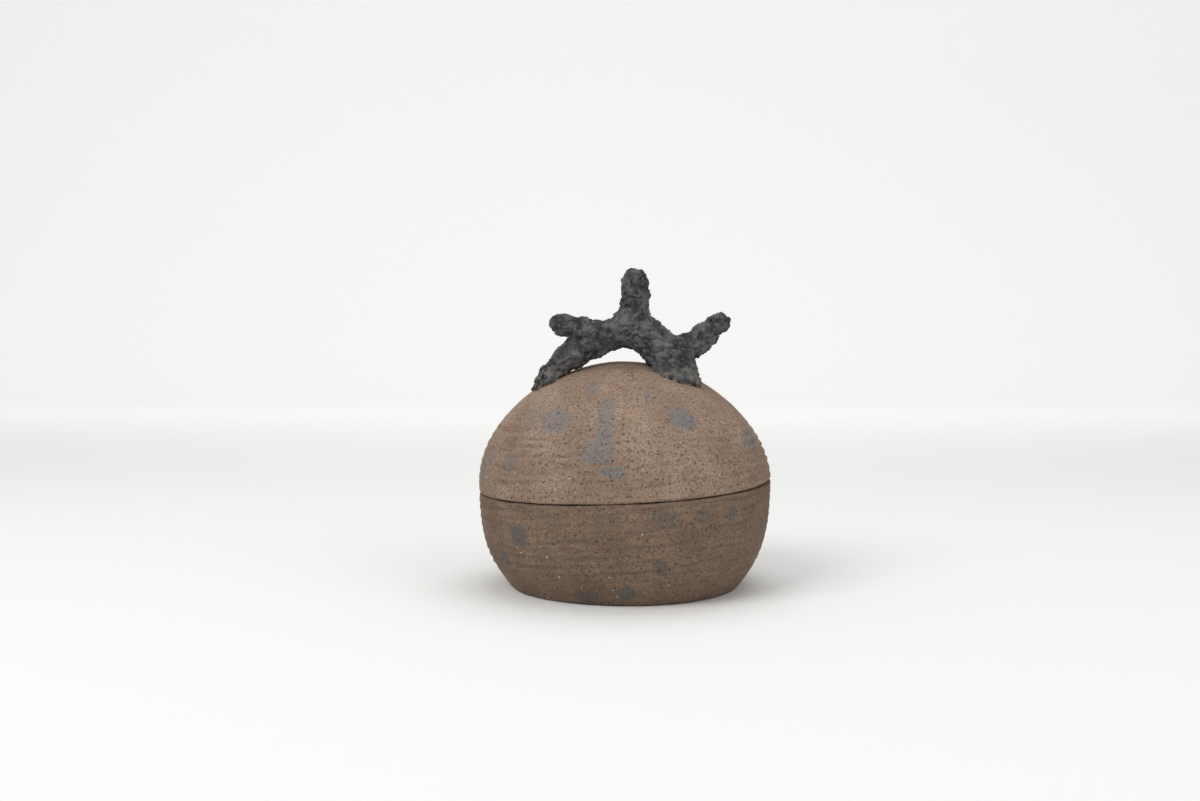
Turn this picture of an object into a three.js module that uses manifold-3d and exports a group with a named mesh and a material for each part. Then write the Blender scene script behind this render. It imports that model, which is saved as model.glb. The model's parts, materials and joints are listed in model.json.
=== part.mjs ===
// A small round stoneware box with a lid, in millimetres, +Z up, standing on Z = 0.
// It is made the way a potter makes one: a closed round form is thrown, cut in two along a seam
// that isn't quite level, a locating collar is luted inside the lower half's mouth, and a branch
// of rolled dark clay limbs is luted on the lid as its handle.
import * as THREE from "three";
import { mergeVertices } from "three/addons/utils/BufferGeometryUtils.js";
import Module from "manifold-3d";

// The thrown form.
const bodyRadius = 50;
const bellyHeight = 35;
const domeHeight = 76.8;
const footRadius = 38.8;
const wall = 5;
const floorThickness = 5;
const footRingWidth = 6;
const footRecess = 1.2;
const footEdge = 0.8;

// The seam between the halves, and the collar that locates the lid.
const seamHeight = 34.6;
const seamTilt = 2.8;
const seamHeading = 25;
const seamGap = 0.3;
const seamBevel = 0.6;
const collarThickness = 2.6;
const collarRise = 6;
const collarDepth = 8;
const collarClearance = 0.4;

// The branch handle. A limb is a run of [x, y, height over the dome's top, radius].
const luteGap = 0.3;
const bridgeLimb = [
  [-28.2, -6.5, -7.6, 2.6],
  [-26.0, -6.8, -5.4, 3.6],
  [-20.4, -7.4, 0.2, 4.5],
  [-12.6, -8.0, 5.2, 5.0],
  [-4.6, -8.2, 9.0, 5.1],
  [2.4, -8.4, 11.2, 5.4],
  [8.8, -8.8, 7.8, 5.9],
  [13.8, -9.6, 3.0, 6.4],
  [16.8, -10.6, -2.2, 6.2],
  [18.0, -11.4, -6.4, 5.6],
];
const crownProng = [
  [2.4, -8.4, 12.0, 6.2],
  [3.2, -8.3, 17.6, 5.2],
  [3.8, -8.1, 22.4, 4.4],
  [4.2, -7.9, 27.0, 4.1],
  [4.3, -7.8, 30.6, 3.2],
];
const leftProng = [
  [-7.6, -8.2, 9.6, 4.6],
  [-13.4, -8.6, 10.9, 4.2],
  [-18.0, -9.0, 11.8, 3.7],
  [-21.8, -9.4, 12.4, 3.1],
];
const rightProng = [
  [15.4, -8.4, 1.6, 5.2],
  [20.8, -7.0, 4.4, 4.8],
  [26.4, -5.4, 8.4, 4.2],
  [31.0, -4.2, 11.9, 3.5],
  [33.4, -3.6, 13.8, 2.7],
];
const leftLute = { along: -25.4, across: -6.9, radius: 5.6, height: 3.4 };
const rightLute = { along: 17.2, across: -11.0, radius: 8.4, height: 4.6 };

// How finely the round pieces and the limbs are faceted.
const turnSteps = 56;
const outlineSteps = 12;
const limbSides = 12;
const limbStep = 2.4;

const brownClay = new THREE.MeshStandardMaterial({ color: 0x9a7d69, roughness: 0.92, metalness: 0 });
const collarClay = new THREE.MeshStandardMaterial({ color: 0x8a6e5c, roughness: 0.95, metalness: 0 });
const darkClay = new THREE.MeshStandardMaterial({ color: 0x4d4c4c, roughness: 0.95, metalness: 0 });

const wasm = await Module();
wasm.setup();

// A closed geometry as a solid that can be cut and joined.
function solid(geometry) {
  const bare = new THREE.BufferGeometry();
  bare.setAttribute("position", geometry.getAttribute("position"));
  if (geometry.index) bare.setIndex(geometry.index);
  const merged = mergeVertices(bare, 1e-4);
  return new wasm.Manifold(
    new wasm.Mesh({
      numProp: 3,
      vertProperties: new Float32Array(merged.attributes.position.array),
      triVerts: new Uint32Array(merged.index.array),
    }),
  );
}

// A solid as a named mesh.
function mesh(name, made, material) {
  const { numProp, numVert, vertProperties, triVerts } = made.getMesh();
  const points = new Float32Array(numVert * 3);
  for (let i = 0; i < numVert; i++) {
    points.set(vertProperties.subarray(i * numProp, i * numProp + 3), i * 3);
  }
  const geometry = new THREE.BufferGeometry();
  geometry.setAttribute("position", new THREE.BufferAttribute(points, 3));
  geometry.setIndex(new THREE.BufferAttribute(triVerts, 1));
  geometry.computeVertexNormals();
  const piece = new THREE.Mesh(geometry, material);
  piece.name = name;
  return piece;
}

// A profile of [radius, height] points, from the axis below round to the axis above, turned about Z.
function turned(profile) {
  const points = profile.map(([r, z]) => new THREE.Vector2(Math.max(r, 0), z));
  return new THREE.LatheGeometry(points, turnSteps).rotateX(Math.PI / 2);
}

// The outline of the thrown form, taken in by inset all round and cut level at floor height.
// The dome and the bowl are one Bezier curve each, upright at the belly; the dome ends level.
function formOutline(inset, floor) {
  const belly = bodyRadius - inset;
  const rise = domeHeight - bellyHeight - inset;
  const dome = new THREE.CubicBezierCurve(
    new THREE.Vector2(belly, bellyHeight),
    new THREE.Vector2(belly, bellyHeight + 0.58 * rise),
    new THREE.Vector2(0.455 * belly, bellyHeight + rise),
    new THREE.Vector2(0, bellyHeight + rise),
  );
  const bowl = new THREE.CubicBezierCurve(
    new THREE.Vector2(footRadius - inset, 0),
    new THREE.Vector2(footRadius + 0.68 * (bodyRadius - footRadius) - inset, 0.26 * bellyHeight),
    new THREE.Vector2(belly, 0.48 * bellyHeight),
    new THREE.Vector2(belly, bellyHeight),
  );
  const lower = bowl.getPoints(outlineSteps).map((p) => [p.x, p.y]);
  const above = lower.findIndex(([, z]) => z > floor + 0.3);
  const [r0, z0] = lower[above - 1];
  const [r1, z1] = lower[above];
  const floorRadius = r0 + ((floor - z0) / (z1 - z0)) * (r1 - r0);
  return [
    [0, floor],
    [floorRadius, floor],
    ...lower.slice(above),
    ...dome.getPoints(outlineSteps).slice(1).map((p) => [p.x, p.y]),
  ];
}

// The dome's outside height at a distance from the axis, beyond the belly.
function domeHeightAt(radius) {
  const outline = formOutline(0, 0).filter(([, z]) => z >= bellyHeight);
  const next = outline.findIndex(([r]) => r <= radius);
  const [r0, z0] = outline[Math.max(next - 1, 0)];
  const [r1, z1] = outline[Math.max(next, 1)];
  return z0 + ((radius - r0) / (r1 - r0)) * (z1 - z0);
}

// Places a geometry made about the origin in the seam's own frame, which leans by the seam's tilt.
const uphill = THREE.MathUtils.degToRad(seamHeading);
const seamTurn = new THREE.Matrix4().makeRotationAxis(
  new THREE.Vector3(Math.sin(uphill), -Math.cos(uphill), 0),
  THREE.MathUtils.degToRad(seamTilt),
);
const seamFrame = new THREE.Matrix4().makeTranslation(0, 0, seamHeight).multiply(seamTurn);

function inSeamFrame(geometry) {
  return solid(geometry.applyMatrix4(seamFrame));
}

// Everything on one side of the seam, short of it by half the gap.
function halfSpace(side) {
  const reach = 2 * (bodyRadius + domeHeight);
  const block = new THREE.BoxGeometry(reach, reach, reach);
  return inSeamFrame(block.translate(0, 0, side * (reach / 2 + seamGap / 2)));
}

// The ring that takes the sharp edge off both rims, outside.
function seamGroove() {
  const beyond = 4;
  const tip = bodyRadius - seamBevel;
  const wide = seamGap / 2 + seamBevel + beyond;
  return inSeamFrame(
    turned([[tip, -seamGap / 2], [tip + seamBevel + beyond, -wide], [tip + seamBevel + beyond, wide],
      [tip, seamGap / 2], [tip, -seamGap / 2]]),
  );
}

function thrownForm() {
  const outline = formOutline(0, 0);
  const [, [rim]] = outline;
  const foot = [[0, 0], [rim - footEdge, 0], [rim + footEdge / 2, footEdge]];
  const shell = [...foot, ...outline.filter(([, z]) => z > footEdge)];
  const under = footRadius - footRingWidth;
  const recess = [[0, -footRecess], [under + footRecess, -footRecess], [under, footRecess], [0, footRecess]];
  return solid(turned(shell))
    .subtract(solid(turned(recess)))
    .subtract(solid(turned(formOutline(wall, floorThickness))));
}

function locatingCollar() {
  const mouth = bodyRadius - wall;
  const bore = mouth - collarThickness;
  const ring = [[bore, -collarDepth], [mouth + wall, -collarDepth], [mouth + wall, collarRise],
    [bore, collarRise], [bore, -collarDepth]];
  const room = solid(turned(formOutline(wall + collarClearance, floorThickness)));
  return inSeamFrame(turned(ring)).intersect(room);
}

// A round-ended limb of clay: rings of growing and shrinking radius along a smooth centreline,
// a little lumpy, as hand-rolled clay is.
function limb(stations, grown = 0) {
  const path = new THREE.CatmullRomCurve3(
    stations.map(([x, y, z]) => new THREE.Vector3(x, y, domeHeight + z)),
  );
  const steps = Math.round(path.getLength() / limbStep);
  const frames = path.computeFrenetFrames(steps, false);
  const ends = [stations[0][3] + grown, stations[stations.length - 1][3] + grown];
  const radiusAt = (t) => {
    const at = t * (stations.length - 1);
    const i = Math.min(Math.floor(at), stations.length - 2);
    return THREE.MathUtils.lerp(stations[i][3], stations[i + 1][3], at - i) + grown;
  };
  const rings = [];
  const capAngles = [Math.PI / 3, Math.PI / 6];
  for (const a of capAngles) rings.push([0, -ends[0] * Math.sin(a), ends[0] * Math.cos(a)]);
  for (let i = 0; i <= steps; i++) rings.push([i, 0, radiusAt(path.getUtoTmapping(i / steps))]);
  for (const a of [...capAngles].reverse()) rings.push([steps, ends[1] * Math.sin(a), ends[1] * Math.cos(a)]);
  const points = [];
  const add = (v) => points.push(v.x, v.y, v.z);
  const centre = (i, offset) =>
    path.getPointAt(i / steps).addScaledVector(path.getTangentAt(i / steps), offset);
  add(centre(0, -ends[0]));
  for (const [i, offset, radius] of rings) {
    for (let k = 0; k < limbSides; k++) {
      const angle = (2 * Math.PI * k) / limbSides;
      const lump = 1 + 0.05 * Math.sin(3 * angle + 0.9 * i) + 0.04 * Math.sin(2 * angle - 1.7 * i);
      add(
        centre(i, offset)
          .addScaledVector(frames.normals[i], radius * lump * Math.cos(angle))
          .addScaledVector(frames.binormals[i], radius * lump * Math.sin(angle)),
      );
    }
  }
  add(centre(steps, ends[1]));
  const faces = [];
  const at = (ring, k) => 1 + ring * limbSides + (k % limbSides);
  const last = 1 + rings.length * limbSides;
  for (let k = 0; k < limbSides; k++) {
    faces.push(0, at(0, k + 1), at(0, k));
    for (let ring = 0; ring < rings.length - 1; ring++) {
      faces.push(at(ring, k), at(ring, k + 1), at(ring + 1, k + 1));
      faces.push(at(ring, k), at(ring + 1, k + 1), at(ring + 1, k));
    }
    faces.push(last, at(rings.length - 1, k), at(rings.length - 1, k + 1));
  }
  const geometry = new THREE.BufferGeometry();
  geometry.setAttribute("position", new THREE.BufferAttribute(new Float32Array(points), 3));
  geometry.setIndex(faces);
  return solid(geometry);
}

// A low mound of soft clay pressed round a foot of the branch, on the dome.
function lute({ along, across, radius, height }) {
  const mound = new THREE.SphereGeometry(1, 16, 10).scale(radius, radius, height);
  const lean = Math.atan2(Math.hypot(along, across), domeHeight - bellyHeight) * 0.6;
  const turn = new THREE.Vector3(-across, along, 0).normalize();
  const seat = domeHeightAt(Math.hypot(along, across));
  mound.applyMatrix4(new THREE.Matrix4().makeRotationAxis(turn, lean));
  return solid(mound.translate(along, across, seat));
}

const form = thrownForm();
const groove = seamGroove();
const lower = form.intersect(halfSpace(-1)).subtract(groove);
const upper = form.intersect(halfSpace(1)).subtract(groove);
const domeClear = solid(turned(formOutline(-luteGap, 0)));
const bridge = limb(bridgeLimb).subtract(domeClear);
const bridgeClear = limb(bridgeLimb, luteGap);
const prongs = {
  handle_crown_prong: limb(crownProng),
  handle_left_prong: limb(leftProng).subtract(limb(crownProng, luteGap)),
  handle_right_prong: limb(rightProng).subtract(limb(crownProng, luteGap)),
};
const rightProngClear = limb(rightProng, luteGap);

// The largest part of a solid, without the slivers that a cut leaves behind.
function largest(made) {
  return made.decompose().reduce((a, b) => (a.volume() > b.volume() ? a : b));
}

const base = new THREE.Group();
base.add(mesh("base_bowl", lower, brownClay));
base.add(mesh("locating_collar", locatingCollar(), collarClay));

const lid = new THREE.Group();
lid.add(mesh("lid_dome", upper, brownClay));
lid.add(mesh("handle_bridge", largest(bridge), darkClay));
for (const [name, made] of Object.entries(prongs)) {
  lid.add(mesh(name, largest(made.subtract(bridgeClear).subtract(domeClear)), darkClay));
}
for (const [name, place] of Object.entries({ left_foot_lute: leftLute, right_foot_lute: rightLute })) {
  const pressed = lute(place).subtract(domeClear).subtract(bridgeClear).subtract(rightProngClear);
  lid.add(mesh(name, largest(pressed), darkClay));
}

const jar = new THREE.Group();
jar.add(base, lid);

export default jar;
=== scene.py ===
"""A small round stoneware box with a clay branch for a handle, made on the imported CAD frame.

Shapes are worked out in millimetres and made in metres, with the box standing on Z = 0.
"""
import json
from math import radians

import bmesh
import bpy
import numpy as np
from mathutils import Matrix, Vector


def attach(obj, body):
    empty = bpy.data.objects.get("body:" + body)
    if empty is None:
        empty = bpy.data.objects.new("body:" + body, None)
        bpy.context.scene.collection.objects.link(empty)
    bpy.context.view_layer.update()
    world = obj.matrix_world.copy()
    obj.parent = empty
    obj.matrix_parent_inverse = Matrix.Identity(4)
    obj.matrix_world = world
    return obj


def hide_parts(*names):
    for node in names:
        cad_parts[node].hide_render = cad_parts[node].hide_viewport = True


bl_info = {
    "name": "Branch Handled Stoneware Box",
    "version": (1, 0, 0),
    "blender": (4, 5, 0),
    "location": "View3D > Sidebar > Jar",
    "description": "Builds a cut stoneware box with a locating collar and a clay branch handle",
    "category": "Add Mesh",
}

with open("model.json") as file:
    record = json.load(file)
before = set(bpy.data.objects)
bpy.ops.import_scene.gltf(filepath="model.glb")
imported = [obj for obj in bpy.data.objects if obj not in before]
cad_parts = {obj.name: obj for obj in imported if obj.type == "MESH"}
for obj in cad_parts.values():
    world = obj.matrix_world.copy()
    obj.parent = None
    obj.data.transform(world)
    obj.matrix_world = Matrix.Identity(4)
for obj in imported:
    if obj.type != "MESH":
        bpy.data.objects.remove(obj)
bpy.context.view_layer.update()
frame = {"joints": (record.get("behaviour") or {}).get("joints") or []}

MM = 0.001

# The thrown form.
BODY_RADIUS = 50
BELLY_HEIGHT = 35
APEX_HEIGHT = 76.8
WALL = 5.0
FOOT_RADIUS = 38.8
FOOT_FLARE = (46.4, 9.1)  # radius and height that the bowl's curve heads for as it leaves the foot
BOWL_SHOULDER = 16.8  # height down to which the belly stays nearly upright
DOME_SHOULDER = 0.58  # share of the dome's rise up to which the belly stays nearly upright
DOME_CROWN = 0.455  # share of the belly's radius out to which the crown stays nearly level

# The foot and the floor.
RECESS_DEPTH = 1.2
RECESS_RADIUS = 32
FOOT_RING = [(33.4, 0.0), (36.0, 0.0), (38.0, 0.0), (38.9, 0.25)]
FLOOR_EDGE = 5.4
FLOOR_MIDDLE = 5.1
COVE_HEIGHT = 8.5
COVE_DEPTH = 4

# The seam, which leans as the lid's own way up does.
SEAM_HEIGHT = 34.6
SEAM_GAP = 0.3
LID_LIP = 1.0
BASE_LIP = 0.9
LID_EASE = 0.5
BASE_EASE = 0.4
RIM_MIDDLE = 47.4
ARC = [radians(a) for a in (22, 45, 68, 90)]

# The locating collar.
COLLAR_BORE = 42.4
COLLAR_RISE = 6
COLLAR_DEPTH = 8
COLLAR_CLEARANCE = 0.45
COLLAR_BITE = 0.3  # how far it is pressed into the base's wall

TURN = 360  # columns round each thrown piece

# The branch's limbs, as stations of x, y, z and radius.
LIMBS = {
    "bridge": [
        (-28.4, -6.5, 68.6, 2.4),
        (-26.0, -6.8, 71.4, 3.5),
        (-20.4, -7.4, 77.0, 4.5),
        (-12.6, -8.0, 82.0, 5.0),
        (-4.6, -8.2, 85.8, 5.1),
        (2.4, -8.4, 88.0, 5.4),
        (8.8, -8.8, 84.6, 5.9),
        (13.8, -9.6, 79.8, 6.5),
        (16.8, -10.6, 74.6, 6.7),
        (18.0, -11.4, 70.4, 6.2),
    ],
    "crown": [
        (2.2, -8.4, 87.5, 6.4),
        (2.8, -8.3, 92.6, 5.2),
        (3.4, -8.1, 97.4, 4.2),
        (3.9, -7.9, 102.6, 4.2),
        (4.2, -7.8, 104.8, 3.7),
    ],
    "left": [
        (-7.6, -8.2, 86.0, 4.4),
        (-13.4, -8.6, 87.4, 3.7),
        (-17.6, -9.0, 88.6, 3.2),
        (-21.2, -9.4, 89.8, 3.6),
    ],
    "right": [
        (15.4, -8.4, 78.4, 5.4),
        (20.8, -7.0, 81.2, 4.9),
        (26.4, -5.4, 85.0, 3.7),
        (30.6, -4.2, 88.3, 3.3),
        (32.6, -3.6, 89.8, 3.4),
    ],
}

# Lumps of luting clay pressed round the feet, as x, y, z and radius.
LUMPS = [
    (-28.6, -7.6, 68.3, 2.3),
    (-24.6, -9.8, 70.1, 2.4),
    (-25.0, -3.6, 70.8, 2.6),
    (-30.2, -5.4, 67.4, 1.6),
    (12.2, -13.8, 73.2, 3.4),
    (17.0, -16.4, 70.8, 3.8),
    (22.0, -14.4, 69.6, 3.2),
    (10.8, -10.0, 74.2, 2.6),
    (20.6, -7.2, 72.4, 3.6),
    (15.4, -5.8, 74.0, 3.2),
    (23.2, -10.6, 70.2, 3.0),
    (13.6, -16.2, 71.8, 2.2),
]

# Slip spots, as azimuth from the front in degrees, height, half width, half height and strength.
LID_SPOTS = [
    (-21, 68, 3.1, 3.0, 0.5),
    (13, 66, 1.5, 1.9, 0.6),
    (27, 59, 4.5, 3.6, 1.0),
    (-32, 58, 5.7, 3.9, 0.8),
    (-45, 59, 4.1, 3.0, 0.4),
    (-36, 55, 2.4, 1.5, 0.6),
    (-8, 59, 3.0, 6.8, 0.8),
    (-8, 51, 3.3, 5.8, 0.9),
    (-13, 49, 4.0, 3.8, 0.7),
    (-4, 43, 3.9, 2.1, 1.0),
    (-49, 45, 2.7, 2.4, 0.8),
    (-64, 46, 3.0, 2.4, 0.7),
    (-72, 40, 3.3, 4.3, 0.8),
    (64, 51, 5.2, 3.4, 1.0),
    (104, 58, 4.4, 3.4, 0.8),
    (131, 46, 3.2, 5.2, 0.8),
    (158, 62, 5.0, 3.6, 0.7),
    (186, 44, 3.8, 2.6, 1.0),
    (-112, 55, 3.4, 4.6, 0.8),
    (-140, 64, 4.6, 3.0, 0.7),
]
BASE_SPOTS = [
    (-43, 22, 4.0, 3.4, 1.0),
    (-56, 13, 2.9, 2.4, 0.8),
    (14, 13, 2.4, 2.4, 0.8),
    (1, 5, 2.9, 2.4, 0.8),
    (-17, 3, 3.8, 2.4, 0.8),
    (15, 29, 4.7, 2.7, 0.5),
    (29, 29, 3.3, 2.4, 0.5),
    (43, 29, 2.5, 2.1, 0.8),
    (82, 19, 3.8, 3.2, 0.9),
    (118, 26, 3.0, 4.0, 0.7),
    (163, 12, 4.4, 2.8, 0.8),
    (-105, 24, 3.6, 3.0, 0.9),
    (-148, 9, 3.4, 2.6, 0.8),
]

# Fired clay's specks.
RUST = (0.16, 0.065, 0.035, 1)
PIT = (0.045, 0.032, 0.026, 1)
PALE_GROG = (0.62, 0.55, 0.46, 1)

# Lights of the stage, as name, place, size and power.
LIGHTS = [
    ("key", (-0.75, -0.75, 0.95), 0.7, 9.0),
    ("fill", (0.9, -0.7, 0.6), 0.9, 3.2),
    ("top", (0.1, 0.3, 1.2), 0.9, 5.0),
]


# Outlines and rings

def bezier(points, steps=160):
    """Points along a cubic curve."""
    p = np.array(points, float)
    t = np.linspace(0, 1, steps)[:, None]
    return (1 - t) ** 3 * p[0] + 3 * (1 - t) ** 2 * t * p[1] + 3 * (1 - t) * t * t * p[2] + t ** 3 * p[3]


def outline(inset):
    """Radius and height of the thrown form from the foot to the apex, taken in by inset."""
    belly = BODY_RADIUS - inset
    rise = APEX_HEIGHT - BELLY_HEIGHT - inset
    flare, flare_height = FOOT_FLARE
    bowl = bezier([
        (FOOT_RADIUS - inset, 0),
        (flare - inset, flare_height),
        (belly, BOWL_SHOULDER),
        (belly, BELLY_HEIGHT),
    ])
    dome = bezier([
        (belly, BELLY_HEIGHT),
        (belly, BELLY_HEIGHT + DOME_SHOULDER * rise),
        (DOME_CROWN * belly, BELLY_HEIGHT + rise),
        (0, BELLY_HEIGHT + rise),
    ])
    return np.vstack([bowl, dome[1:]])


class Track:
    """Points along an outline by arc length, and the arc length at any height."""

    def __init__(self, inset):
        self.points = outline(inset)
        self.lengths = np.concatenate([[0], np.cumsum(np.hypot(*np.diff(self.points, axis=0).T))])
        self.end = self.lengths[-1]
        self.apex = self.points[-1, 1]

    def at(self, length):
        """Radius and height at an arc length from the foot."""
        radius = np.interp(length, self.lengths, self.points[:, 0])
        return radius, np.interp(length, self.lengths, self.points[:, 1])

    def reach(self, height):
        """The arc length at which the outline gets to a height."""
        return np.interp(height, self.points[:, 1], self.lengths)

    def radius(self, height):
        """The radius at a height."""
        return self.at(self.reach(height))[0]


OUTSIDE = Track(0.0)
INSIDE = Track(WALL)
ANGLES = np.linspace(0, 2 * np.pi, TURN, endpoint=False)
LIFT = frame["joints"][0]["axis"]


def seam(radius):
    """The seam's height round a circle about the axis."""
    rise_x, rise_y = -LIFT[0] / LIFT[2], -LIFT[1] / LIFT[2]
    return SEAM_HEIGHT + rise_x * radius * np.cos(ANGLES) + rise_y * radius * np.sin(ANGLES)


def ring(radius, height):
    """Points round the axis, each column with its own radius and height."""
    r = np.broadcast_to(radius, ANGLES.shape)
    z = np.broadcast_to(height, ANGLES.shape)
    return np.stack([r * np.cos(ANGLES), r * np.sin(ANGLES), z], axis=1)


def run(track, start, end, shares):
    """Rings along a track between two arc lengths."""
    return [ring(*track.at(start + (end - start) * t)) for t in shares]


def rim(side, lip, ease):
    """Rings from a half's rounded outer lip to its eased inner edge. Side is 1 above the seam, -1 below."""
    outer, inner = seam(BODY_RADIUS), seam(BODY_RADIUS - WALL)
    edge, mouth = OUTSIDE.radius(outer), INSIDE.radius(inner)
    away = side * SEAM_GAP / 2
    rings = [ring(edge - lip * (1 - np.cos(a)), outer + away + side * lip * (1 - np.sin(a))) for a in ARC]
    rings.append(ring(RIM_MIDDLE, seam(RIM_MIDDLE) + away))
    rings.append(ring(mouth + ease, inner + away))
    rings.append(ring(mouth, inner + away + side * ease))
    return rings


def skin(name, rings, first=None, last=None, closed=False):
    """A closed piece from rings of points, with a pole at either end or joined to itself."""
    points = list(np.vstack(rings))
    faces = []
    pairs = [(i, i + 1) for i in range(len(rings) - 1)]
    if closed:
        pairs.append((len(rings) - 1, 0))
    for a, b in pairs:
        for k in range(TURN):
            j = (k + 1) % TURN
            faces.append((a * TURN + k, a * TURN + j, b * TURN + j, b * TURN + k))
    for pole, row in ((first, 0), (last, len(rings) - 1)):
        if pole is not None:
            points.append(np.array([0, 0, pole]))
            faces += [(len(points) - 1, row * TURN + k, row * TURN + (k + 1) % TURN) for k in range(TURN)]
    mesh = bpy.data.meshes.new(name)
    mesh.from_pydata([tuple(p * MM) for p in points], [], faces)
    bm = bmesh.new()
    bm.from_mesh(mesh)
    bmesh.ops.recalc_face_normals(bm, faces=bm.faces)
    bm.to_mesh(mesh)
    bm.free()
    mesh.shade_smooth()
    return placed(name, mesh)


def placed(name, data):
    """A new object in the scene."""
    ob = bpy.data.objects.new(name, data)
    bpy.context.collection.objects.link(ob)
    return ob


def bake(ob):
    """Turns an object's modifiers into its own mesh."""
    evaluated = ob.evaluated_get(bpy.context.evaluated_depsgraph_get())
    mesh = bpy.data.meshes.new_from_object(evaluated)
    ob.modifiers.clear()
    ob.data = mesh
    mesh.shade_smooth()
    return ob


# The thrown halves, the collar and the branch

def lid_skin():
    """The upper half: outside from the apex to the seam, its rim, and inside to the apex."""
    low = OUTSIDE.reach(seam(BODY_RADIUS) + SEAM_GAP / 2 + LID_LIP)
    start = INSIDE.reach(seam(BODY_RADIUS - WALL) + SEAM_GAP / 2 + 1)
    rings = run(OUTSIDE, OUTSIDE.end, low, np.linspace(0.012, 1, 150))
    rings += rim(1, LID_LIP, LID_EASE)
    rings += run(INSIDE, start, INSIDE.end, np.linspace(0, 0.985, 60))
    return skin("lid_shell", rings, OUTSIDE.apex, INSIDE.apex)


def base_skin():
    """The lower half: the recessed foot, the outside up to the seam, its rim, and inside to the floor."""
    rings = [ring(r, RECESS_DEPTH) for r in (4, 12, 20, 28, RECESS_RADIUS - 0.8)]
    rings += [ring(RECESS_RADIUS, 0.9), ring(RECESS_RADIUS + 0.8, 0.2)]
    rings += [ring(*at) for at in FOOT_RING]
    top = OUTSIDE.reach(seam(BODY_RADIUS) - SEAM_GAP / 2 - BASE_LIP)
    rings += run(OUTSIDE, OUTSIDE.reach(0.9), top, np.linspace(0, 1, 96))
    rings += rim(-1, BASE_LIP, BASE_EASE)
    high = INSIDE.reach(seam(BODY_RADIUS - WALL) - SEAM_GAP / 2 - 1)
    cove = INSIDE.reach(COVE_HEIGHT)
    rings += run(INSIDE, high, cove, np.linspace(0, 1, 44))
    radius, height = INSIDE.at(cove)
    for a in (radians(20), radians(40), radians(60), radians(80)):
        drop = FLOOR_EDGE + (height - FLOOR_EDGE) * (1 - np.sin(a))
        rings.append(ring(radius - COVE_DEPTH * (1 - np.cos(a)), drop))
    dish = FLOOR_EDGE - FLOOR_MIDDLE
    rings += [ring(r, FLOOR_EDGE - dish * (1 - r / 34)) for r in (31, 26, 20, 14, 8, 3)]
    return skin("base_shell", rings, RECESS_DEPTH, FLOOR_MIDDLE)


def collar_skin():
    """The ring luted inside the base's mouth, that the lid slips over."""
    level = seam(COLLAR_BORE)
    lip = 0.9
    rings = []
    for h in np.linspace(-COLLAR_DEPTH, COLLAR_RISE, 22):
        fit = COLLAR_BITE if h < -0.6 else -COLLAR_CLEARANCE
        rounding = lip * max(0.0, (h - COLLAR_RISE + lip) / lip) ** 2
        rings.append(ring(INSIDE.radius(level + h) + fit - rounding, level + h))
    rings.append(ring(COLLAR_BORE + 1.2, level + COLLAR_RISE + 0.25))
    rings.append(ring(COLLAR_BORE + 0.5, level + COLLAR_RISE + 0.1))
    for h in np.linspace(COLLAR_RISE - 0.6, 1 - COLLAR_DEPTH, 22):
        rings.append(ring(COLLAR_BORE - 0.15 * np.sin(h * 1.1), level + h))
    rings.append(ring(COLLAR_BORE + 0.8, level - COLLAR_DEPTH))
    return skin("collar_ring", rings, closed=True)


def spline(stations, steps):
    """A smooth line through the stations, with steps points in each stretch."""
    p = np.array(stations, float)
    p = np.vstack([2 * p[0] - p[1], p, 2 * p[-1] - p[-2]])
    line = []
    for i in range(1, len(p) - 2):
        a, b, c, d = p[i - 1:i + 3]
        for t in np.linspace(0, 1, steps, endpoint=False):
            square = (2 * a - 5 * b + 4 * c - d) * t * t
            cube = (3 * b - a - 3 * c + d) * t ** 3
            line.append(0.5 * (2 * b + (c - a) * t + square + cube))
    return np.array(line + [p[-2]])


def branch_skin():
    """Balls of clay strung along the limbs' lines and pressed round the feet, fused into one skin."""
    rng = np.random.default_rng(7)
    balls = [(q[:3], q[3]) for q in LUMPS]
    for stations in LIMBS.values():
        for q in spline(stations, 9):
            lumpy = 1 + 0.07 * rng.standard_normal()
            balls.append((q[:3] + rng.normal(0, 0.3, 3), q[3] * lumpy))
    bm = bmesh.new()
    for centre, radius in balls:
        ball = bmesh.ops.create_icosphere(bm, subdivisions=3, radius=radius * MM)
        for v in ball["verts"]:
            v.co = v.co + Vector(centre) * MM
    mesh = bpy.data.meshes.new("branch_handle")
    bm.to_mesh(mesh)
    bm.free()
    ob = placed("branch_handle", mesh)
    fuse = ob.modifiers.new("fuse", "REMESH")
    fuse.mode = "VOXEL"
    fuse.voxel_size = 0.42 * MM
    smooth = ob.modifiers.new("smooth", "SMOOTH")
    smooth.iterations = 3
    smooth.factor = 0.5
    return bake(ob)


# Node trees

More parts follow.
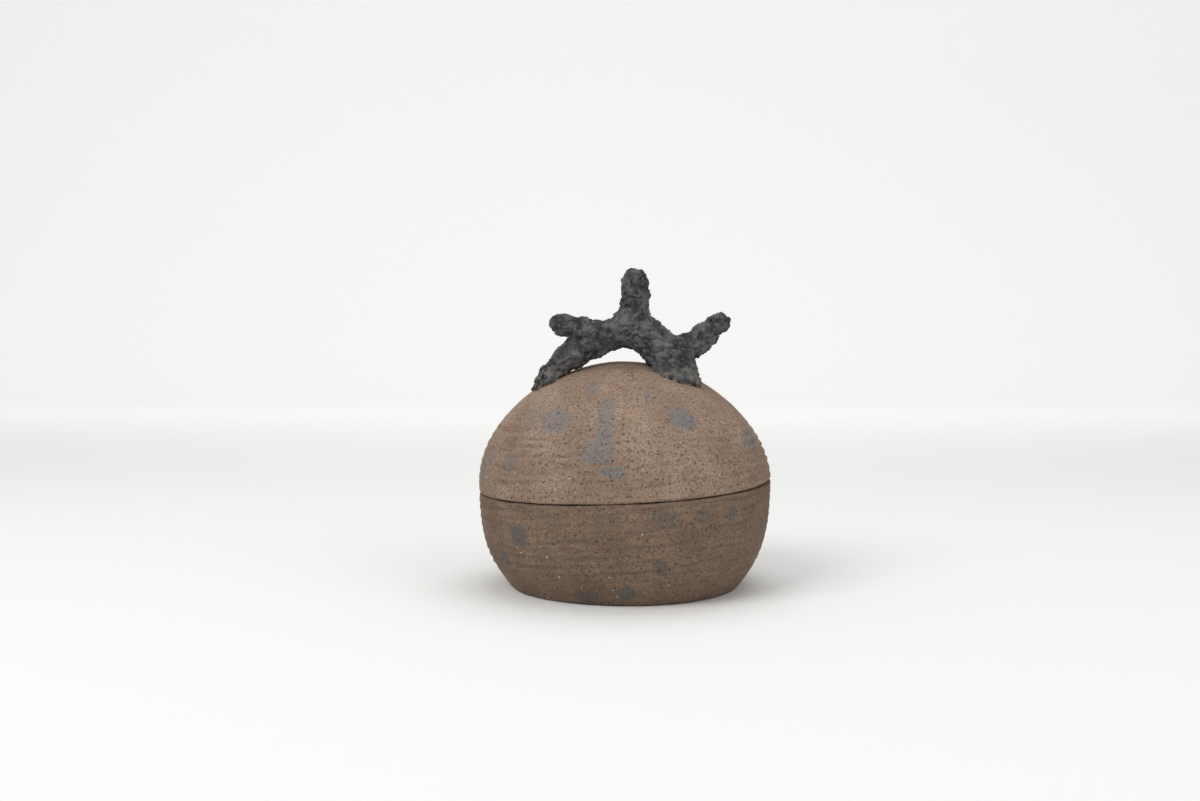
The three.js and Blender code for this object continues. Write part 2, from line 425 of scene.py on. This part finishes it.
class Wires:
    """Short helpers that add and join nodes in a tree."""

    def __init__(self, tree):
        self.tree = tree

    def add(self, kind, *feeds, **settings):
        """A node, with its first inputs fed in order."""
        node = self.tree.nodes.new(kind)
        for key, value in settings.items():
            setattr(node, key, value)
        for i, feed in enumerate(feeds):
            self.put(node, i, feed)
        return node

    def put(self, node, socket, feed):
        """Feeds an input from a socket, or gives it a value."""
        target = node.inputs[socket]
        if isinstance(feed, bpy.types.NodeSocket):
            self.tree.links.new(feed, target)
        else:
            target.default_value = feed

    def math(self, operation, *feeds):
        """A number worked out from numbers."""
        return self.add("ShaderNodeMath", *feeds, operation=operation).outputs[0]

    def vector(self, operation, *feeds):
        """A vector, or for a length or a dot product a number, worked out from vectors."""
        node = self.add("ShaderNodeVectorMath", *feeds, operation=operation)
        return node.outputs["Value" if operation in ("LENGTH", "DOT_PRODUCT") else "Vector"]

    def scaled(self, vector, factor):
        """A vector times a number."""
        node = self.add("ShaderNodeVectorMath", vector, operation="SCALE")
        self.put(node, "Scale", factor)
        return node.outputs[0]

    def noise(self, vector, scale, detail=3.0, rough=0.55, offset=None, colour=False):
        """A noise at a place, from 0 to 1, or one in each of three channels."""
        if offset is not None:
            vector = self.vector("ADD", vector, offset)
        node = self.add("ShaderNodeTexNoise")
        self.put(node, "Vector", vector)
        self.put(node, "Scale", scale)
        self.put(node, "Detail", detail)
        self.put(node, "Roughness", rough)
        return node.outputs["Color" if colour else 0]

    def span(self, value, low, high, to_low=0.0, to_high=1.0):
        """A smooth step from one value to another as the input goes from low to high."""
        node = self.add("ShaderNodeMapRange", interpolation_type="SMOOTHSTEP")
        self.put(node, "Value", value)
        self.put(node, "From Min", low)
        self.put(node, "From Max", high)
        self.put(node, "To Min", to_low)
        self.put(node, "To Max", to_high)
        return node.outputs["Result"]

    def mix(self, factor, a, b):
        """A colour between two."""
        node = self.add("ShaderNodeMix", data_type="RGBA")
        self.put(node, 0, factor)
        self.put(node, 6, a)
        self.put(node, 7, b)
        return node.outputs[2]

    def group(self, tree, vector):
        """A shader node group fed with a place."""
        node = self.add("ShaderNodeGroup", node_tree=tree)
        self.put(node, "Vector", vector)
        return node.outputs

    def climb(self, xyz, slope=0.085):
        """The height, leaned so that level lines climb a little across the pot."""
        return self.math("SUBTRACT", xyz.outputs[2], self.math("MULTIPLY", xyz.outputs[0], slope))


def shared(builder):
    """The node tree that a builder makes, made the first time it is asked for."""
    return bpy.data.node_groups.get(builder.__name__) or builder()


# Geometry nodes

def geometry_tree(name, inputs):
    """An empty geometry tree with its named inputs."""
    tree = bpy.data.node_groups.new(name, "GeometryNodeTree")
    tree.interface.new_socket("Geometry", in_out="INPUT", socket_type="NodeSocketGeometry")
    for label, kind, value in inputs:
        socket = tree.interface.new_socket(label, in_out="INPUT", socket_type="NodeSocket" + kind)
        socket.default_value = value
    tree.interface.new_socket("Material", in_out="INPUT", socket_type="NodeSocketMaterial")
    tree.interface.new_socket("Geometry", in_out="OUTPUT", socket_type="NodeSocketGeometry")
    return tree


def push_out(w, geometry, distance):
    """The geometry with each point moved along its normal."""
    normal = w.add("GeometryNodeInputNormal").outputs[0]
    moved = w.add("GeometryNodeSetPosition", geometry)
    w.put(moved, "Offset", w.scaled(normal, distance))
    return moved.outputs[0]


def end_tree(w, geometry, material):
    """Realizes what was instanced, sets the material and hands the geometry out."""
    whole = w.add("GeometryNodeRealizeInstances", geometry)
    done = w.add("GeometryNodeSetMaterial", whole.outputs[0])
    w.put(done, "Material", material)
    w.add("NodeGroupOutput", done.outputs[0])


def throwing_relief():
    """Throwing rings that climb a little round the pot, slow unevenness and grain, as real relief."""
    tree = geometry_tree("throwing_relief", [
        ("Ring Depth", "Float", 0.00026),
        ("Ring Spacing", "Float", 0.0027),
        ("Ring Low", "Float", 0.036),
        ("Ring High", "Float", 0.060),
        ("Grain Depth", "Float", 0.00008),
        ("Seed", "Int", 3),
    ])
    w = Wires(tree)
    g = w.add("NodeGroupInput").outputs
    place = w.add("GeometryNodeInputPosition").outputs[0]
    shift = w.add("ShaderNodeCombineXYZ", g["Seed"], 0.0, 0.0).outputs[0]
    xyz = w.add("ShaderNodeSeparateXYZ", place)
    height = xyz.outputs[2]
    drift = w.math("MULTIPLY", w.noise(place, 45.0, 2.0, offset=shift), 0.0030)
    turns = w.math("DIVIDE", w.math("ADD", w.climb(xyz), drift), g["Ring Spacing"])
    phase = w.math("MULTIPLY", turns, 6.28318)
    ripple = w.math("MULTIPLY", w.math("SINE", w.math("MULTIPLY", phase, 2.7)), 0.5)
    wave = w.math("ADD", w.math("SINE", phase), ripple)
    begin = w.span(height, g["Ring Low"], w.math("ADD", g["Ring Low"], 0.003))
    cease = w.span(height, g["Ring High"], w.math("SUBTRACT", g["Ring High"], 0.012))
    patchy = w.span(w.noise(place, 60.0, 2.0, offset=shift), 0.38, 0.62, 0.25, 1.0)
    where = w.math("MULTIPLY", w.math("MULTIPLY", begin, cease), patchy)
    rings = w.math("MULTIPLY", w.math("MULTIPLY", wave, g["Ring Depth"]), where)
    slow = w.math("SUBTRACT", w.noise(place, 38.0, 2.0, offset=shift), 0.5)
    fine = w.math("SUBTRACT", w.noise(place, 700.0, 3.0, 0.65), 0.5)
    uneven = w.math("MULTIPLY", slow, 0.0009)
    grain = w.math("MULTIPLY", fine, w.math("MULTIPLY", g["Grain Depth"], 2.0))
    distance = w.math("ADD", w.math("ADD", rings, uneven), grain)
    end_tree(w, push_out(w, g["Geometry"], distance), g["Material"])
    return tree


def crusty_branch():
    """Bark-like grooves and pits on the branch, and crumbs of grog stuck over it."""
    tree = geometry_tree("crusty_branch", [
        ("Crust Depth", "Float", 0.0022),
        ("Crumbs", "Float", 80000.0),
        ("Crumb Size", "Float", 0.00042),
        ("Seed", "Int", 5),
    ])
    w = Wires(tree)
    g = w.add("NodeGroupInput").outputs
    place = w.add("GeometryNodeInputPosition").outputs[0]
    drawn = w.vector("MULTIPLY", place, (0.45, 1.2, 0.7))
    coarse = w.math("SUBTRACT", w.noise(drawn, 210.0, 4.0, 0.6), 0.5)
    fine = w.math("SUBTRACT", w.noise(place, 620.0, 4.0, 0.7), 0.5)
    crease = w.math("SUBTRACT", w.noise(drawn, 330.0, 3.0, 0.6, offset=(3.0, 1.0, 2.0)), 0.5)
    grooves = w.span(w.math("ABSOLUTE", crease), 0.0, 0.06, 0.5, 0.0)
    bark = w.math("ADD", w.math("MULTIPLY", coarse, 1.5), w.math("MULTIPLY", fine, 0.9))
    distance = w.math("MULTIPLY", w.math("SUBTRACT", bark, grooves), g["Crust Depth"])
    crusted = push_out(w, g["Geometry"], distance)
    points = w.add("GeometryNodeDistributePointsOnFaces", crusted)
    w.put(points, "Density", g["Crumbs"])
    w.put(points, "Seed", g["Seed"])
    turn = w.add("FunctionNodeRandomValue", data_type="FLOAT_VECTOR")
    w.put(turn, 1, (6.28, 6.28, 6.28))
    size = w.add("FunctionNodeRandomValue", (0.35, 0.35, 0.35), (1.3, 1.1, 1.2), data_type="FLOAT_VECTOR")
    crumbs = w.add("GeometryNodeInstanceOnPoints", points.outputs[0])
    w.put(crumbs, "Instance", w.add("GeometryNodeMeshIcoSphere", 1.0, 1).outputs[0])
    w.put(crumbs, "Rotation", turn.outputs[0])
    w.put(crumbs, "Scale", w.scaled(size.outputs[0], g["Crumb Size"]))
    both = w.add("GeometryNodeJoinGeometry", crumbs.outputs[0])
    w.put(both, 0, crusted)
    end_tree(w, both.outputs[0], g["Material"])
    return tree


def grow(ob, tree, values):
    """Runs a geometry tree on an object with its inputs set by name, and bakes it."""
    modifier = ob.modifiers.new(tree.name, "NODES")
    modifier.node_group = tree
    for item in tree.interface.items_tree:
        if item.in_out == "INPUT" and item.name in values:
            modifier[item.identifier] = values[item.name]
    return bake(ob)


def line_inside(ob, mat):
    """Gives the faces that look inwards a material without slip spots."""
    ob.data.materials.append(mat)
    for face in ob.data.polygons:
        if face.normal.dot(face.center - Vector((0, 0, BELLY_HEIGHT * MM))) < 0:
            face.material_index = 1


# Materials

def shader_group(name, outputs):
    """An empty shader group that reads a place and puts out the named values."""
    tree = bpy.data.node_groups.new(name, "ShaderNodeTree")
    tree.interface.new_socket("Vector", in_out="INPUT", socket_type="NodeSocketVector")
    for label in outputs:
        tree.interface.new_socket(label, in_out="OUTPUT", socket_type="NodeSocketFloat")
    return tree


def grogged_clay():
    """Masks of a coarse fired clay: mottling, grain, dark pits, rust specks and pale grog, and its relief."""
    tree = shader_group("grogged_clay", ["Mottle", "Grain", "Pits", "Rust", "Pale", "Height"])
    w = Wires(tree)
    v = w.add("NodeGroupInput").outputs[0]
    mottle = w.span(w.noise(v, 55.0, 4.0, 0.6), 0.35, 0.65)
    grain = w.noise(v, 1500.0, 3.0, 0.7)
    pits = w.span(w.noise(v, 1250.0, 2.0, 0.6, offset=(1.3, 0.2, 0.7)), 0.585, 0.66)
    rust = w.span(w.noise(v, 900.0, 2.0, 0.6, offset=(4.1, 2.2, 0.3)), 0.55, 0.66)
    pale = w.span(w.noise(v, 760.0, 1.0, 0.5, offset=(7.7, 5.1, 2.9)), 0.76, 0.80)
    raised = w.math("ADD", w.math("MULTIPLY", grain, 0.7), w.math("MULTIPLY", pale, 0.5))
    height = w.math("SUBTRACT", raised, w.math("MULTIPLY", pits, 0.9))
    w.add("NodeGroupOutput", mottle, grain, pits, rust, pale, height)
    return tree


def painted_groove_shade():
    """A mask of painted shade along the fine grooves that throwing leaves, climbing a little round the pot."""
    tree = shader_group("painted_groove_shade", ["Mask"])
    w = Wires(tree)
    v = w.add("NodeGroupInput").outputs[0]
    xyz = w.add("ShaderNodeSeparateXYZ", v)
    height = xyz.outputs[2]
    drift = w.math("MULTIPLY", w.noise(v, 45.0, 2.0), 0.004)
    across = w.math("MULTIPLY", xyz.outputs[0], 0.06)
    drawn = w.add("ShaderNodeCombineXYZ", 0.0, across, w.math("ADD", w.climb(xyz), drift)).outputs[0]
    lines = w.span(w.noise(drawn, 620.0, 3.0, 0.6), 0.50, 0.64)
    fade = w.math("MULTIPLY", w.span(height, 0.004, 0.012), w.span(height, 0.063, 0.050))
    patchy = w.span(w.noise(v, 50.0, 2.0), 0.36, 0.60, 0.2, 1.0)
    w.add("NodeGroupOutput", w.math("MULTIPLY", lines, w.math("MULTIPLY", fade, patchy)))
    return tree


def slip_spots(name, spots):
    """A mask of soft slip spots on the thrown form, their edges broken by the grain."""
    tree = shader_group(name, ["Mask"])
    w = Wires(tree)
    v = w.add("NodeGroupInput").outputs[0]
    slow = w.vector("SUBTRACT", w.noise(v, 160.0, 2.0, 0.5, colour=True), (0.5, 0.5, 0.5))
    fast = w.vector("SUBTRACT", w.noise(v, 900.0, 3.0, 0.7, colour=True), (0.5, 0.5, 0.5))
    bend = w.vector("ADD", w.scaled(slow, 0.003), w.scaled(fast, 0.0014))
    bent = w.vector("ADD", v, bend)
    mask = 0.0
    for azimuth, z, half, tall, strength in spots:
        out = np.array([np.sin(radians(azimuth)), -np.cos(radians(azimuth)), 0])
        side = np.array([np.cos(radians(azimuth)), np.sin(radians(azimuth)), 0])
        radius = np.interp(z, OUTSIDE.points[:, 1], OUTSIDE.points[:, 0])
        away = w.vector("SUBTRACT", bent, tuple((out * radius + (0, 0, z)) * MM))
        across = w.vector("DOT_PRODUCT", away, tuple(side / (half * MM)))
        inward = w.vector("DOT_PRODUCT", away, tuple(out / (3.2 * max(half, tall) * MM)))
        upward = w.vector("DOT_PRODUCT", away, (0, 0, 1 / (tall * MM)))
        reach = w.vector("LENGTH", w.add("ShaderNodeCombineXYZ", across, inward, upward).outputs[0])
        mask = w.math("MAXIMUM", mask, w.span(reach, 1.22, 0.78, 0.0, strength))
    broken = w.span(w.noise(v, 1100.0, 2.0, 0.6), 0.30, 0.55, 0.55, 1.0)
    w.add("NodeGroupOutput", w.math("MULTIPLY", mask, broken))
    return tree


def new_material(name):
    """An empty material, the wires of its tree and its object coordinates."""
    mat = bpy.data.materials.new(name)
    mat.use_nodes = True
    mat.node_tree.nodes.clear()
    w = Wires(mat.node_tree)
    return mat, w, w.add("ShaderNodeTexCoord").outputs["Object"]


def surface(w, colour, rough):
    """The material's one shader, matte as unglazed clay is."""
    shader = w.add("ShaderNodeBsdfPrincipled")
    w.put(shader, "Base Color", colour)
    w.put(shader, "Roughness", rough)
    w.put(shader, "Specular IOR Level", 0.25)
    w.add("ShaderNodeOutputMaterial", shader.outputs[0])
    return shader


def roughen(w, shader, height, depth, strength):
    """Adds a fine relief to a shader."""
    bump = w.add("ShaderNodeBump")
    w.put(bump, "Strength", strength)
    w.put(bump, "Distance", depth)
    w.put(bump, "Height", height)
    w.put(shader, "Normal", bump.outputs[0])


def darker(colour, share):
    """A share of a colour, opaque."""
    return tuple(share * c for c in colour[:3]) + (1,)


def stoneware(name, light, dark, slip=None, spots=None):
    """Grogged stoneware in two browns, with slip spots where a list of them is given."""
    mat, w, v = new_material(name)
    clay = w.group(shared(grogged_clay), v)
    lines = w.group(shared(painted_groove_shade), v)["Mask"]
    colour = w.mix(clay["Mottle"], dark, light)
    colour = w.mix(w.span(clay["Grain"], 0.35, 0.65, 0.0, 0.6), colour, darker(dark, 0.6))
    # Painted shade: the clay is darkened along the throwing grooves.
    colour = w.mix(w.math("MULTIPLY", lines, 0.42), colour, darker(dark, 0.45))
    if spots:
        mask = w.group(slip_spots(name + "_spots", spots), v)["Mask"]
        colour = w.mix(w.math("MULTIPLY", mask, 0.86), colour, slip)
    colour = w.mix(w.math("MULTIPLY", clay["Rust"], 0.55), colour, RUST)
    colour = w.mix(w.math("MULTIPLY", clay["Pits"], 0.75), colour, PIT)
    colour = w.mix(w.math("MULTIPLY", clay["Pale"], 0.7), colour, PALE_GROG)
    shader = surface(w, colour, w.span(clay["Grain"], 0.2, 0.8, 0.78, 0.95))
    roughen(w, shader, clay["Height"], 0.0003, 0.6)
    return mat


def charcoal(dark, light, dust, clay):
    """Dark crusty clay, dusted paler, with the lid's clay smeared round the feet."""
    mat, w, v = new_material("charcoal_clay")
    colour = w.mix(w.span(w.noise(v, 170.0, 4.0, 0.65), 0.35, 0.65), dark, light)
    dusty = w.span(w.noise(v, 850.0, 3.0, 0.7), 0.54, 0.68)
    colour = w.mix(w.math("MULTIPLY", dusty, 0.6), colour, dust)
    low = w.span(w.add("ShaderNodeSeparateXYZ", v).outputs[2], 0.079, 0.070)
    smeared = w.math("MULTIPLY", low, w.span(w.noise(v, 420.0, 3.0, 0.6), 0.48, 0.60))
    colour = w.mix(w.math("MULTIPLY", smeared, 0.55), colour, clay)
    shader = surface(w, colour, 0.92)
    roughen(w, shader, w.noise(v, 1300.0, 4.0, 0.7), 0.0004, 0.8)
    return mat


def pale_floor():
    """A matte white that the camera sees brighter the farther back it is."""
    mat, w, v = new_material("pale_floor")
    shader = surface(w, (0.80, 0.80, 0.79, 1), 0.9)
    xyz = w.add("ShaderNodeSeparateXYZ", v)
    far = w.span(w.math("ADD", xyz.outputs[1], xyz.outputs[2]), 0.25, 1.3, 0.0, 0.36)
    seen = w.add("ShaderNodeLightPath").outputs["Is Camera Ray"]
    w.put(shader, "Emission Color", (1, 1, 0.99, 1))
    w.put(shader, "Emission Strength", w.math("MULTIPLY", far, seen))
    return mat


# Settings, operators and panel

def length(name, text, default, top):
    """A length in metres that the user can change."""
    return bpy.props.FloatProperty(
        name=name, description=text, default=default, min=0, max=top, precision=5, unit="LENGTH"
    )


def tint(name, text, default):
    """A colour that the user can change."""
    return bpy.props.FloatVectorProperty(
        name=name, description=text, default=default, size=4, min=0, max=1, subtype="COLOR"
    )


class JarSettings(bpy.types.PropertyGroup):
    """Sizes and colours of the box that a user would change."""
    ring_depth: length("Ring depth", "How deep the throwing rings are", 0.00026, 0.001)
    ring_spacing: length("Ring spacing", "How far apart the throwing rings are", 0.0027, 0.01)
    grain_depth: length("Grain depth", "How coarse the clay's grain stands", 0.00008, 0.001)
    crust_depth: length("Crust depth", "How deep the branch's bark is", 0.0022, 0.004)
    crumbs: bpy.props.FloatProperty(
        name="Crumbs", description="Crumbs on each square metre of the branch", default=80000, min=0, max=400000
    )
    seed: bpy.props.IntProperty(name="Seed", description="Changes the relief and the crumbs", default=3)
    lid_light: tint("Lid, light", "The lid's lighter clay", (0.350, 0.254, 0.186, 1))
    lid_dark: tint("Lid, dark", "The lid's darker clay", (0.262, 0.182, 0.130, 1))
    lid_slip: tint("Lid slip", "The lid's slip spots", (0.150, 0.158, 0.160, 1))
    base_light: tint("Base, light", "The base's lighter clay", (0.235, 0.165, 0.117, 1))
    base_dark: tint("Base, dark", "The base's darker clay", (0.165, 0.113, 0.079, 1))
    base_slip: tint("Base slip", "The base's slip spots", (0.080, 0.088, 0.088, 1))
    branch_dark: tint("Branch, dark", "The branch's darker clay", (0.036, 0.036, 0.038, 1))
    branch_light: tint("Branch, light", "The branch's lighter clay", (0.125, 0.123, 0.122, 1))
    branch_dust: tint("Branch dust", "The pale dust on the branch", (0.21, 0.20, 0.19, 1))
    branch_smear: tint("Luting clay", "The brown clay smeared round the feet", (0.30, 0.25, 0.21, 1))


def hand_over(ob, body, material_slot, *nodes):
    """Puts a finished piece on its body, in place of the frame's nodes."""
    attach(ob, body)
    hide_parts(*nodes)


class JAR_OT_lid(bpy.types.Operator):
    """Makes the lid"""
    bl_idname = "jar.lid"
    bl_label = "Lid"

    def execute(self, context):
        p = context.scene.jar_settings
        lid = grow(lid_skin(), shared(throwing_relief), {
            "Ring Depth": p.ring_depth,
            "Ring Spacing": p.ring_spacing,
            "Grain Depth": p.grain_depth,
            "Seed": p.seed,
            "Material": stoneware("lid_stoneware", p.lid_light, p.lid_dark, p.lid_slip, LID_SPOTS),
        })
        line_inside(lid, stoneware("lid_inside", p.lid_light, p.lid_dark))
        hand_over(lid, "lid", "brown_stoneware", "lid_dome")
        return {"FINISHED"}


class JAR_OT_base(bpy.types.Operator):
    """Makes the base and the collar luted inside its mouth"""
    bl_idname = "jar.base"
    bl_label = "Base and collar"

    def execute(self, context):
        p = context.scene.jar_settings
        base = grow(base_skin(), shared(throwing_relief), {
            "Ring Depth": p.ring_depth * 0.6,
            "Ring Spacing": p.ring_spacing,
            "Ring Low": 0.006,
            "Ring High": 0.046,
            "Grain Depth": p.grain_depth,
            "Seed": p.seed,
            "Material": stoneware("base_stoneware", p.base_light, p.base_dark, p.base_slip, BASE_SPOTS),
        })
        plain = stoneware("collar_stoneware", p.base_light, p.base_dark)
        line_inside(base, plain)
        collar = collar_skin()
        collar.data.materials.append(plain)
        hand_over(base, "base", "brown_stoneware", "base_bowl")
        hand_over(collar, "base", "collar_stoneware", "locating_collar")
        return {"FINISHED"}


class JAR_OT_branch(bpy.types.Operator):
    """Makes the clay branch that is the lid's handle"""
    bl_idname = "jar.branch"
    bl_label = "Branch handle"

    def execute(self, context):
        p = context.scene.jar_settings
        branch = grow(branch_skin(), shared(crusty_branch), {
            "Crust Depth": p.crust_depth,
            "Crumbs": p.crumbs,
            "Seed": p.seed,
            "Material": charcoal(p.branch_dark, p.branch_light, p.branch_dust, p.branch_smear),
        })
        limbs = ("handle_bridge", "handle_crown_prong", "handle_left_prong", "handle_right_prong")
        hand_over(branch, "lid", "dark_clay", *limbs, "left_foot_lute", "right_foot_lute")
        return {"FINISHED"}


def sweep_floor():
    """A floor that curves up into a backdrop."""
    front, bend, radius, top, half_width = -3.0, 1.4, 0.8, 4.0, 6
    path = [(front, 0.0), (bend, 0.0)]
    for a in range(9, 91, 9):
        path.append((bend + radius * np.sin(radians(a)), radius - radius * np.cos(radians(a))))
    path.append((bend + radius, top))
    mesh = bpy.data.meshes.new("floor")
    points = [(x, y, z) for y, z in path for x in (-half_width, half_width)]
    faces = [(2 * i, 2 * i + 1, 2 * i + 3, 2 * i + 2) for i in range(len(path) - 1)]
    mesh.from_pydata(points, [], faces)
    mesh.shade_smooth()
    mesh.materials.append(pale_floor())
    return placed("floor", mesh)


class JAR_OT_stage(bpy.types.Operator):
    """Sets the floor and backdrop, the lights and the camera"""
    bl_idname = "jar.stage"
    bl_label = "Stage"

    def execute(self, context):
        sweep_floor()
        target = Vector((0, 0, 0.05))
        for name, place, size, power in LIGHTS:
            light = bpy.data.lights.new(name, "AREA")
            light.size = size
            light.energy = power
            lamp = placed(name, light)
            lamp.location = place
            lamp.rotation_euler = (target - Vector(place)).to_track_quat("-Z", "Y").to_euler()
        world = bpy.data.worlds.new("studio")
        world.use_nodes = True
        background = world.node_tree.nodes["Background"]
        background.inputs["Color"].default_value = (0.93, 0.93, 0.93, 1)
        background.inputs["Strength"].default_value = 0.62
        lens = bpy.data.cameras.new("camera")
        lens.lens = 35
        lens.sensor_width = 36
        camera = placed("camera", lens)
        camera.location = (0, -0.4027, 0.0793)
        camera.rotation_euler = (radians(90 - 2.28), 0, radians(1.2))
        context.scene.world = world
        context.scene.camera = camera
        context.scene.view_settings.view_transform = "Standard"
        return {"FINISHED"}


class JAR_PT_panel(bpy.types.Panel):
    """Lists the settings and the pieces"""
    bl_idname = "JAR_PT_panel"
    bl_label = "Stoneware box"
    bl_space_type = "VIEW_3D"
    bl_region_type = "UI"
    bl_category = "Jar"

    def draw(self, context):
        for name in JarSettings.__annotations__:
            self.layout.prop(context.scene.jar_settings, name)
        for operator in OPERATORS:
            self.layout.operator(operator.bl_idname)


OPERATORS = (JAR_OT_lid, JAR_OT_base, JAR_OT_branch, JAR_OT_stage)
CLASSES = (JarSettings, *OPERATORS, JAR_PT_panel)


def register():
    for cls in CLASSES:
        bpy.utils.register_class(cls)
    bpy.types.Scene.jar_settings = bpy.props.PointerProperty(type=JarSettings)


def unregister():
    del bpy.types.Scene.jar_settings
    for cls in reversed(CLASSES):
        bpy.utils.unregister_class(cls)


def main():
    """Builds every piece and the stage."""
    register()
    bpy.ops.jar.lid()
    bpy.ops.jar.base()
    bpy.ops.jar.branch()
    bpy.ops.jar.stage()


if __name__ == "__main__":
    main()
